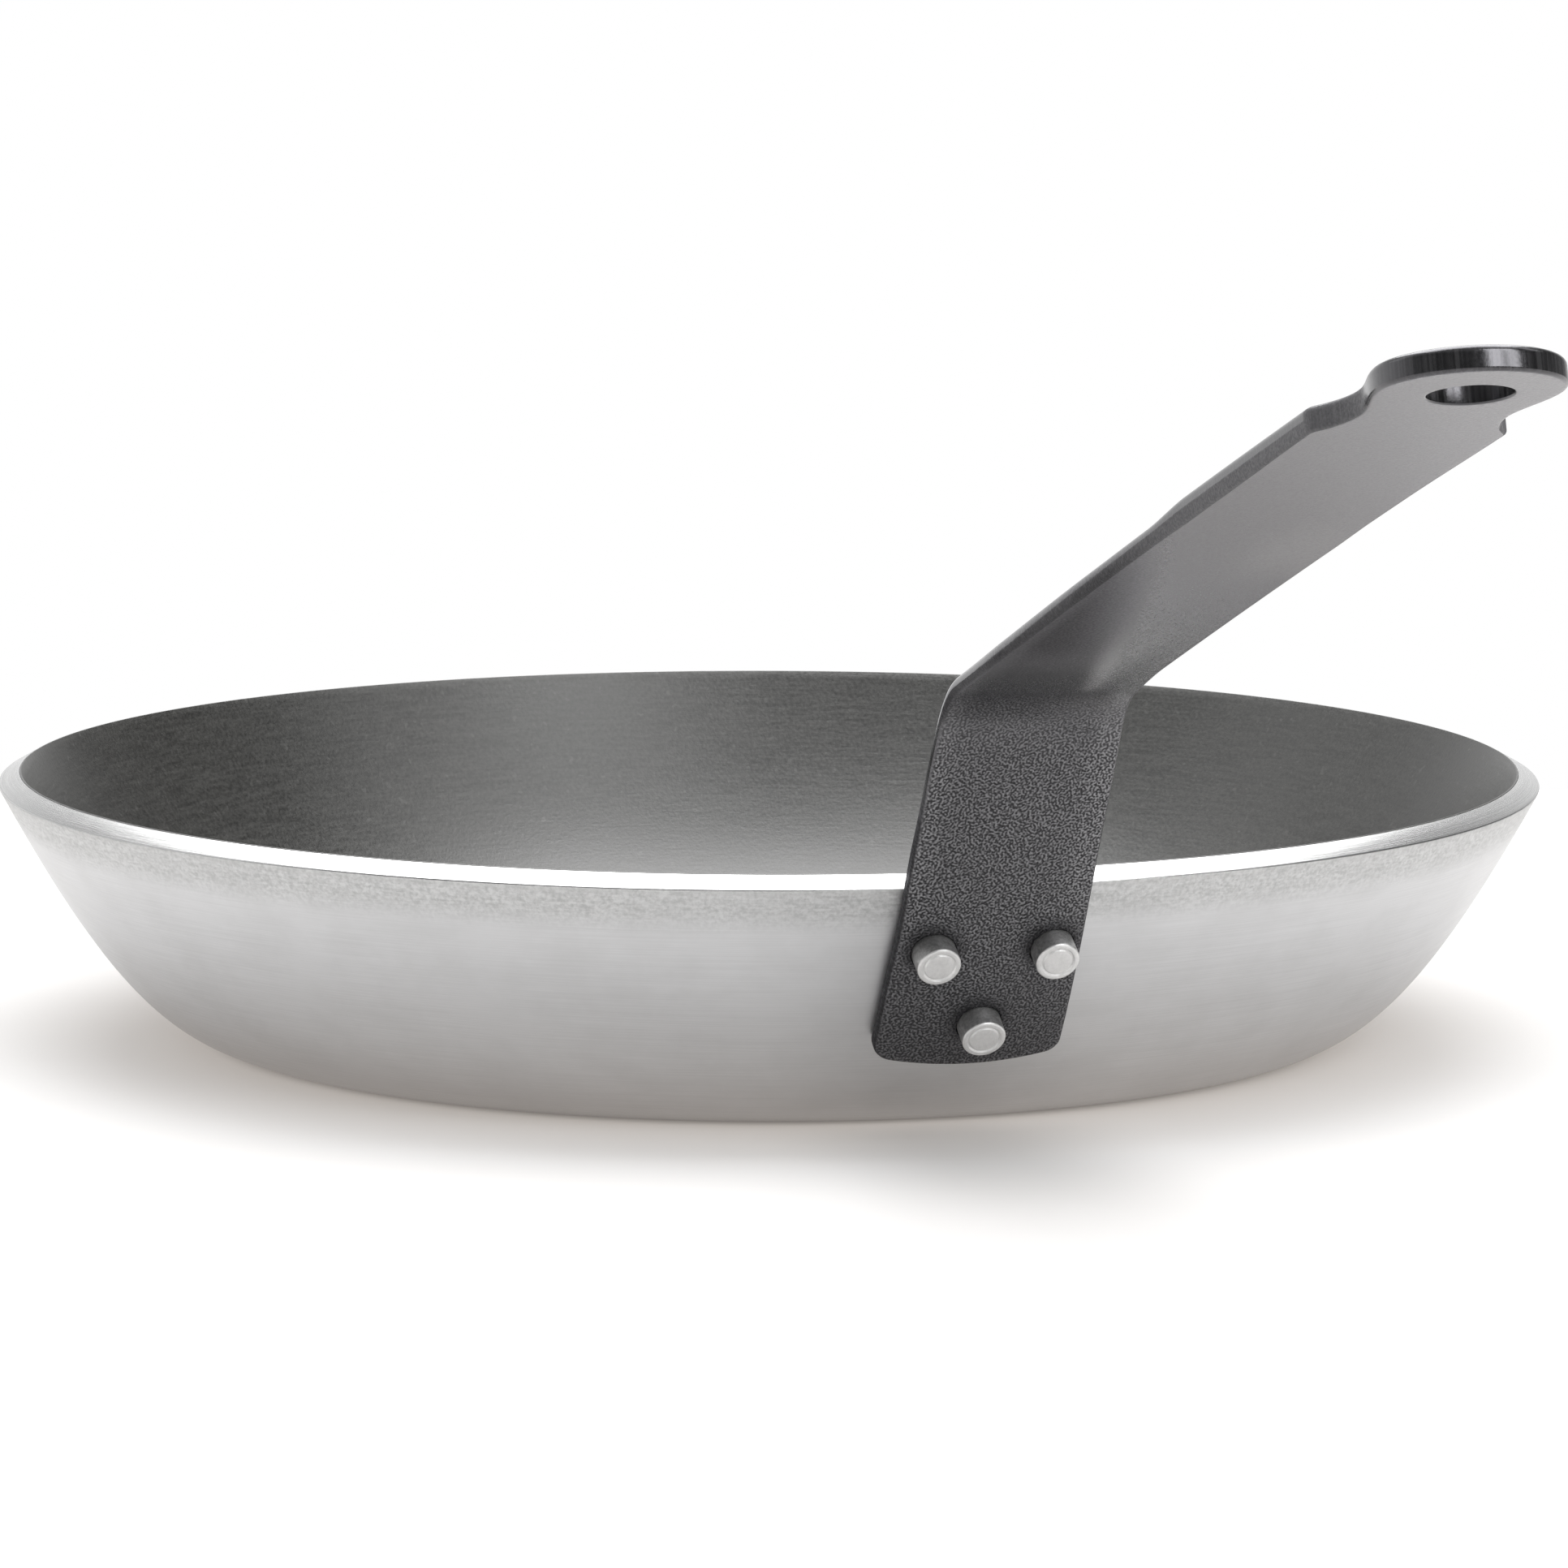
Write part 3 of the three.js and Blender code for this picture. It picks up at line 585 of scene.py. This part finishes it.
lin_in = inside_at(ts, LINING_GAP + LINING_T)
lin_out = inside_at(ts, LINING_GAP)
edge = fillet([lin_out[1], lin_out[0], lin_in[0], lin_in[1]], {1: 0.05, 2: 0.12}, 3)[1:-1]
profile = [(0.0, BASE_T + LINING_GAP), (55.0, BASE_T + LINING_GAP)] + list(map(tuple, lin_out[:0:-1])) + list(map(tuple, edge)) + list(map(tuple, lin_in[1:])) + [(70.0, BASE_T + LINING_GAP + LINING_T), (35.0, BASE_T + LINING_GAP + LINING_T), (0.0, BASE_T + LINING_GAP + LINING_T)]
lining = lathe("nonstick_lining_fine", profile, AROUND, [LINING])

# ---- rivets ---------------------------------------------------------------------------------------------------
seat = STRIP_T + STRIP_GAP + BASE_T + LINING_GAP + LINING_T + RIVET_SEAT
rivets = {}
cutters = []
for name, s, v in RIVETS:
    dome = [(RIVET_HEAD_R * math.sin(a), -seat - 0.35 - (RIVET_HEAD_H - 0.35) * math.cos(a)) for a in np.linspace(0, math.pi / 2, 14)]
    dome[0] = (0.0, dome[0][1])
    prof = dome + [(RIVET_HEAD_R, -seat), (RIVET_R, -seat), (RIVET_R, -2.0), (RIVET_R, 0.0), (RIVET_R, RIVET_TAIL), (RIVET_GROOVE_R + 0.26, RIVET_TAIL),
                   (RIVET_GROOVE_R, RIVET_TAIL - 0.22), (RIVET_GROOVE_R - 0.22, RIVET_TAIL + 0.01), (1.2, RIVET_TAIL + 0.06), (0.0, RIVET_TAIL + 0.08)]
    n = len(dome)
    prof = fillet(prof, {n - 1: 0.12, n: 0.1, n + 4: 0.42, n + 5: 0.1, n + 6: 0.06, n + 7: 0.1}, 4)
    m = frame_at(s, v)
    mids = (prof[1:] + prof[:-1]) / 2
    sides = [1 if abs(r - RIVET_R) < 0.1 and -3 < z < RIVET_TAIL - 0.2 else 0 for r, z in mids]
    rivets[name] = lathe(name + "_fine", prof, 72, [RIVET, RIVET_SIDE], sides, m)
    cut = lathe("cut_" + name, [(0, -14.0), (RIVET_HOLE_R, -14.0), (RIVET_HOLE_R, 6.0), (0, 6.0)], 48, [RIVET], None, m)
    cutters.append(cut)
drill(body, cutters)
drill(lining, cutters)
for c in cutters:
    bpy.data.objects.remove(c)

# ---- strip handle ------------------------------------------------------------------------------------------------
def resample(poly, step):
    """Closed polyline resampled at an even step."""
    p = np.asarray(poly, float)
    q = np.vstack([p, p[:1]])
    d = np.concatenate([[0], np.cumsum(np.linalg.norm(np.diff(q, axis=0), axis=1))])
    n = int(round(d[-1] / step))
    x = np.linspace(0, d[-1], n, endpoint=False)
    return np.stack([np.interp(x, d, q[:, 0]), np.interp(x, d, q[:, 1])], -1)


def normals(loop):
    d = np.roll(loop, -1, 0) - np.roll(loop, 1, 0)
    n = np.stack([d[:, 1], -d[:, 0]], -1)
    return n / np.linalg.norm(n, axis=1)[:, None]


def area(loop):
    x, y = loop[:, 0], loop[:, 1]
    return 0.5 * float(np.sum(x * np.roll(y, -1) - np.roll(x, -1) * y))


def outline():
    corners = np.concatenate([np.linspace(0, 3, 40), np.arange(3.3, 30, 0.4)])
    s = np.unique(np.concatenate([-ROOT_END + corners, np.arange(-2, SHOULDER_AT, 0.5), np.linspace(SHOULDER_AT, WAIST_AT, 60), np.linspace(WAIST_AT, EYE_AT, 40)]))
    arc = EYE_AT + EYE_R * np.sin(np.radians(np.linspace(0.5, 90, 120)))
    s = np.concatenate([s, arc])
    right = half_width(s, 1)
    left = half_width(s, -1)
    a = np.stack([s + end_curve(s, right), right], -1)
    b = np.stack([s + end_curve(s, left), -left], -1)[::-1]
    v = np.linspace(-left[0], right[0], 60)[1:-1]
    bottom = np.stack([-ROOT_END + end_curve(np.full_like(v, -ROOT_END), v), v], -1)
    return np.vstack([a, b[1:], bottom])


def circle(s, v, r, n):
    k = np.arange(n) * 2 * math.pi / n
    return np.stack([s + r * np.cos(k), v + r * np.sin(k)], -1)


def inside(points, loop):
    x, y = points[:, 0][:, None], points[:, 1][:, None]
    x0, y0 = loop[:, 0], loop[:, 1]
    x1, y1 = np.roll(x0, -1), np.roll(y0, -1)
    hit = ((y0 > y) != (y1 > y)) & (x < (x1 - x0) * (y - y0) / np.where(y1 == y0, 1e-12, y1 - y0) + x0)
    return hit.sum(1) % 2 == 1


outer_loop = resample(outline(), 0.55)
if area(outer_loop) < 0:
    outer_loop = outer_loop[::-1]
loops = [(outer_loop, None)]
loops += [(circle(s, v, RIVET_HOLE_R, 48)[::-1], 0.12) for _, s, v in RIVETS]
loops.append((circle(EYE_HOLE_AT, EYE_HOLE_SHIFT, EYE_HOLE_R, 84)[::-1], 0.3))

verts2, depth, faces, edge_of, sheared_of = [], [], [], [], []
under_loops, top_loops = [], []
for loop, hole_r in loops:
    nrm = normals(loop)
    s = loop[:, 0]
    t = thickness(s)
    r = edge_radius(s, ROOT_EDGE_R, GRIP_EDGE_R) if hole_r is None else np.full_like(s, hole_r)
    q = edge_radius(s, ROOT_BACK_R, GRIP_BACK_R) + NECK_BACK_R * smooth((s - 4) / 12) * (1 - smooth((s - 60) / 40)) if hole_r is None else np.full_like(s, hole_r)
    cut = shear(s) if hole_r is None else np.zeros_like(s)
    crease = np.clip(t * (1 - SHEAR_AT), r + 0.2, np.maximum(r + 0.2, t - q - 0.3))

    def row(inset, d):
        return loop - nrm * (inset + cut * np.maximum(0, 1 - d / crease))[:, None], d

    rows = [row(r * (1 - math.sin(a)), r * (1 - math.cos(a))) for a in np.linspace(0, math.pi / 2, 6)]
    rows += [row(0.0, crease - 0.12), row(0.0, crease), row(0.0, crease + 0.12), row(0.0, (crease + t - q) / 2 + 0.03)]
    rows += [row(q * (1 - math.cos(a)), t - q + q * math.sin(a)) for a in np.linspace(0, math.pi / 2, 6)]
    n = len(loop)
    first = len(verts2)
    for i, (p, d) in enumerate(rows):
        verts2.extend(p)
        depth.extend(d)
        edge_of.extend([min(1.0, i / 3, (len(rows) - 1 - i) / 3)] * len(p))
        low = 1 - smooth((d - crease + 0.1) / 0.2) if i >= 1 else np.zeros_like(s)
        notch = smooth((s - SHOULDER_AT + 1.2) / 1.2) * (1 - smooth((s - WAIST_AT) / 6)) if 2 <= i < len(rows) - 3 else np.zeros_like(s)
        # The root's side faces join the sheared zone so that the coat darkens them there: painted shade.
        root_side = 1 - smooth((s - 12) / 12) if 2 <= i < len(rows) - 3 else np.zeros_like(s)
        notch = np.maximum(notch, root_side)
        sheared_of.extend(np.maximum(low * smooth((s - 24) / 16) * (1 - smooth((s - SHOULDER_AT - 3) / 3)), notch) if hole_r is None else np.zeros_like(s))
    for i in range(len(rows) - 1):
        for j in range(n):
            k = (j + 1) % n
            faces.append((first + i * n + j, first + i * n + k, first + (i + 1) * n + k, first + (i + 1) * n + j))
    under_loops.append(np.arange(first, first + n))
    top_loops.append(np.arange(first + (len(rows) - 1) * n, first + len(rows) * n))

levels = np.concatenate([np.arange(-ROOT_END + 1.2, NECK_LEN - 5, 1.5), np.arange(NECK_LEN - 5, NECK_LEN + BEND_LEN + 5, 0.7), np.arange(NECK_LEN + BEND_LEN + 5, EYE_AT + EYE_R, 1.5)])
across = np.linspace(-14.4, 14.4, 21)
grid = np.array([(s, v) for s in levels for v in across])


def fill(face_loops, depth_of):
    """Triangles between an outer loop and its holes, with evenly spread points inside."""
    base = np.array(verts2)
    rings = [base[l] for l in face_loops]
    keep = inside(grid, rings[0])
    for ring in rings:
        gap = np.sqrt(((grid[:, None, :] - ring[None]) ** 2).sum(-1)).min(1)
        keep &= gap > 0.55
    for ring in rings[1:]:
        keep &= ~inside(grid, ring)
    extra = grid[keep]
    pts = np.vstack(rings + [extra])
    edges, start = [], 0
    for ring in rings:
        n = len(ring)
        edges += [(start + i, start + (i + 1) % n) for i in range(n)]
        start += n
    out_v, _, out_f, orig, _, _ = delaunay_2d_cdt([Vector(p) for p in pts], edges, [], 0, 1e-7)
    ids = np.concatenate(list(face_loops) + [np.arange(len(verts2), len(verts2) + len(extra))])
    verts2.extend(extra)
    depth.extend(depth_of(extra[:, 0]))
    edge_of.extend([0.0] * len(extra))
    sheared_of.extend([0.0] * len(extra))
    tri = np.array([[orig[i][0] for i in f] for f in out_f])
    mid = pts[tri].mean(1)
    ok = inside(mid, rings[0])
    for ring in rings[1:]:
        ok &= ~inside(mid, ring)
    return [tuple(ids[f]) for f in tri[ok]]


faces += fill(under_loops, lambda s: np.zeros_like(s))
faces += fill(top_loops, thickness)
sv = np.array(verts2)
points = strip_point(sv[:, 0], sv[:, 1], np.array(depth)) * MM
by_rivet = np.zeros(len(sv))
for _, s, v in RIVETS:
    by_rivet = np.maximum(by_rivet, 1 - smooth((np.hypot(sv[:, 0] - s - 0.7, sv[:, 1] - v + 0.3) - 3.3) / 2.2))
strip = new_object("handle_strip_fine", points, faces, [COAT], None, {"along": sv[:, 0], "across": sv[:, 1], "edge": edge_of, "sheared": sheared_of, "by_rivet": by_rivet, "under": 1 - np.clip(np.array(depth) / thickness(sv[:, 0]), 0, 1)})
face_out(strip)
wn = strip.modifiers.new("weighted", "WEIGHTED_NORMAL")
wn.keep_sharp = True

for ob, node, slot in [(body, "pan_body", "pan_aluminium"), (lining, "nonstick_lining", "nonstick"), (strip, "handle_strip", "handle_epoxy")] + [(rivets[n], n, "rivet_aluminium") for n, _, _ in RIVETS]:
    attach(ob, "root")
    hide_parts(node)

# ---- floor ------------------------------------------------------------------------------------------------------
PHI = 0.2693
TO_CAM = Vector((math.cos(PHI), -math.sin(PHI), 0.0))
TO_RIGHT = Vector((math.sin(PHI), math.cos(PHI), 0.0))
fa = np.array([-0.27, 0.3, 1.0, 3.0])
fb = np.array([-3.0, -0.6, 0.6, 3.0])
fv = [tuple(TO_CAM * float(a) + TO_RIGHT * float(b)) for a in fa for b in fb]
ff = [(4 * i + j, 4 * i + j + 1, 4 * i + j + 5, 4 * i + j + 4) for i in range(3) for j in range(3)]
floor = new_object("floor", fv, ff, [FLOOR])
if floor.data.polygons[0].normal.z < 0:
    floor.data.flip_normals()
floor.location = (0, 0, -0.0001)

# ---- camera -------------------------------------------------------------------------------------------------------
F_PX, DIST, HEIGHT, PITCH, YAW, ROLL = 10346.55, 1300.0, 218.75, 0.138, 0.0018, 0.0026
fwd = np.array([math.sin(YAW) * math.cos(PITCH), math.cos(YAW) * math.cos(PITCH), -math.sin(PITCH)])
right = np.array([math.cos(YAW), -math.sin(YAW), 0.0])
up = np.cross(right, fwd)
r2 = math.cos(ROLL) * right + math.sin(ROLL) * up
u2 = -math.sin(ROLL) * right + math.cos(ROLL) * up
to_pan = np.array([[math.sin(PHI), -math.cos(PHI), 0], [math.cos(PHI), math.sin(PHI), 0], [0, 0, 1]])
cam_data = bpy.data.cameras.new("camera")
cam_data.sensor_width = 36.0
cam_data.lens = F_PX * 36.0 / 1932.0
cam_data.clip_start, cam_data.clip_end = 0.01, 100.0
cam = bpy.data.objects.new("camera", cam_data)
pos = to_pan @ np.array([0, -DIST, HEIGHT]) * MM
rot = np.stack([to_pan @ r2, to_pan @ u2, -(to_pan @ fwd)], 1)
m4 = np.eye(4)
m4[:3, :3], m4[:3, 3] = rot, pos
cam.matrix_world = Matrix(m4.tolist())
bpy.context.scene.collection.objects.link(cam)
bpy.context.scene.camera = cam

# ---- light ----------------------------------------------------------------------------------------------------------
def area_light(name, place, target, size, radiance, colour=(1, 1, 1)):
    d = bpy.data.lights.new(name, "AREA")
    d.shape, d.size, d.size_y, d.color = "RECTANGLE", size[0], size[1], colour
    d.energy = radiance * math.pi * size[0] * size[1]
    o = bpy.data.objects.new(name, d)
    o.location = place
    o.rotation_mode = "QUATERNION"
    o.rotation_quaternion = (Vector(target) - Vector(place)).to_track_quat("-Z", "Y")
    bpy.context.scene.collection.objects.link(o)
    return o


def towards(azimuth, elevation, distance, origin=(0.1, 0, 0.05)):
    """Point at an azimuth (degrees to the right of the camera's direction) and elevation."""
    a, e = math.radians(azimuth), math.radians(elevation)
    return Vector(origin) + (TO_CAM * (math.cos(a) * math.cos(e)) + TO_RIGHT * (math.sin(a) * math.cos(e)) + Vector((0, 0, math.sin(e)))) * distance


area_light("overhead", Vector((0, 0, 0.975)) - TO_CAM * 0.43 - TO_RIGHT * 0.03, Vector((0, 0, -0.005)) - TO_CAM * 0.29 - TO_RIGHT * 0.03, (1.12, 1.54), 4.5)
area_light("overhead_right", Vector((0, 0, 0.975)) + TO_CAM * 0.05 + TO_RIGHT * 0.76, (0, 0, 0), (0.4, 0.75), 1.2)
EYE = (0.3245, 0.0, 0.1327)
area_light("window_a", towards(30.5, 34.0, 1.6, EYE), EYE, (0.5, 1.05), 6.2)
area_light("window_b", towards(53.5, 32.0, 1.6, EYE), EYE, (0.45, 1.05), 5.4)
area_light("left", towards(-105, 32, 1.5), (0, 0, 0), (0.7, 0.7), 0.6)

world = bpy.data.worlds.new("studio")
bpy.context.scene.world = world
world.use_nodes = True
wt = world.node_tree
wt.nodes.clear()
w_out = wt.nodes.new("ShaderNodeOutputWorld")
w_bg = wt.nodes.new("ShaderNodeBackground")
w_tc = wt.nodes.new("ShaderNodeTexCoord")


def side_of(axis, a, b, c, d):
    dot = wt.nodes.new("ShaderNodeVectorMath")
    dot.operation = "DOT_PRODUCT"
    dot.inputs[1].default_value = axis
    mp = wt.nodes.new("ShaderNodeMapRange")
    mp.interpolation_type = "SMOOTHSTEP"
    for key, val in (("From Min", a), ("From Max", b), ("To Min", c), ("To Max", d)):
        mp.inputs[key].default_value = val
    wt.links.new(w_tc.outputs["Generated"], dot.inputs[0])
    wt.links.new(dot.outputs["Value"], mp.inputs["Value"])
    return mp.outputs[0]


def times(a, b):
    x = wt.nodes.new("ShaderNodeMath")
    x.operation = "MULTIPLY"
    wt.links.new(a, x.inputs[0])
    wt.links.new(b, x.inputs[1])
    return x.outputs[0]


front = side_of(TO_CAM, -0.3, 0.55, 1.0, 0.2)
rightward = side_of(TO_RIGHT, 0.27, 0.62, 1.0, 0.2)
ceiling = side_of((0, 0, 1), 0.06, 0.5, 1.0, 0.5)
zenith = side_of((0, 0, 1), 0.5, 0.85, 0.0, 0.32)
glow = wt.nodes.new("ShaderNodeMath")
glow.operation = "ADD"
below = wt.nodes.new("ShaderNodeMath")
below.operation = "MAXIMUM"
wt.links.new(times(times(front, rightward), ceiling), below.inputs[0])
wt.links.new(side_of((0, 0, 1), -0.12, -0.02, 1.0, 0.0), below.inputs[1])
wt.links.new(below.outputs[0], glow.inputs[0])
wt.links.new(zenith, glow.inputs[1])
wt.links.new(glow.outputs[0], w_bg.inputs["Strength"])
w_bg.inputs["Color"].default_value = (1.0, 1.0, 1.0, 1.0)
wt.links.new(w_bg.outputs[0], w_out.inputs["Surface"])

bpy.context.scene.view_settings.view_transform = "Standard"
bpy.context.scene.view_settings.look = "None"
